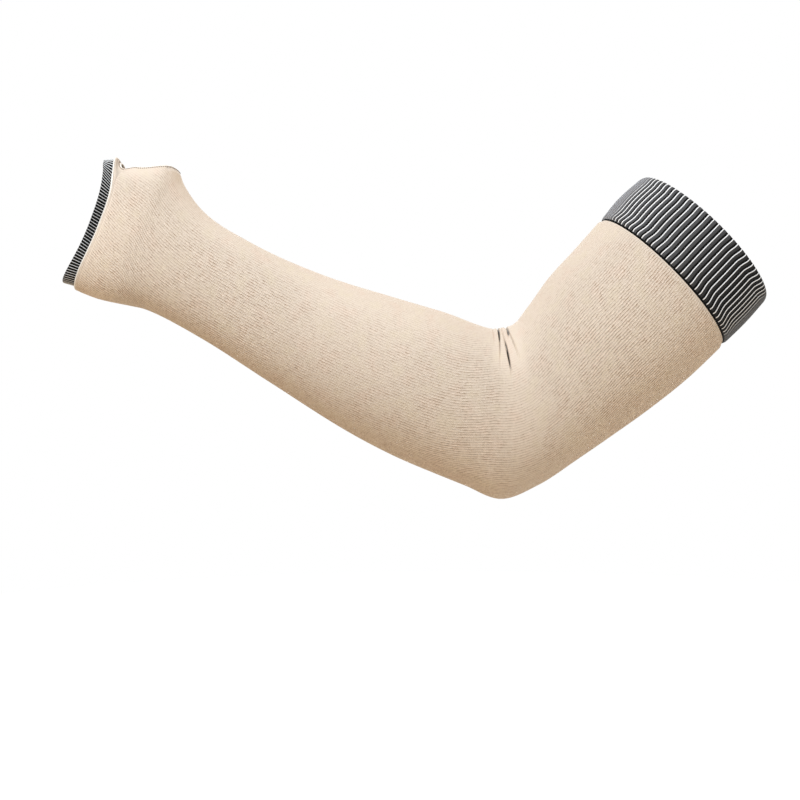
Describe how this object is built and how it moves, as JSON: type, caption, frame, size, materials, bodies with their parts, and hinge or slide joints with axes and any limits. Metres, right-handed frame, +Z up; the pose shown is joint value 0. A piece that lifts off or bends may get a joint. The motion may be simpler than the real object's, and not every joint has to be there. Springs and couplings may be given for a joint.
{
  "type": "sun protection arm sleeve",
  "caption": "Knitted arm sleeve from hand to upper arm, bent at the elbow, with a thumb hole, a ribbed grip cuff at the upper arm and a narrow ribbed cuff at the fingers.",
  "frame": {"origin": "middle of the upper-arm cuff on the arm's centre line, where the elastic cuff grips and the sleeve is held up", "axes": "+Z up, +X from the hand towards the upper arm as worn with the elbow bent, -Y the palm side; the arm lies in the XZ plane"},
  "size_m": [0.4536, 0.1012, 0.2214],
  "materials": {
    "beige_knit": "fine matte single knit with wales along the arm",
    "charcoal_rib": "matte elastic rib knit with white pinstripe ribs",
    "ivory_hem": "matte rolled and stitched edge"
  },
  "bodies": {
    "root": {"sleeve_body": "beige_knit", "upper_arm_cuff": "charcoal_rib", "hand_cuff": "charcoal_rib", "palm_hem": "ivory_hem", "thumb_hem": "ivory_hem"}
  },
  "joints": []
}
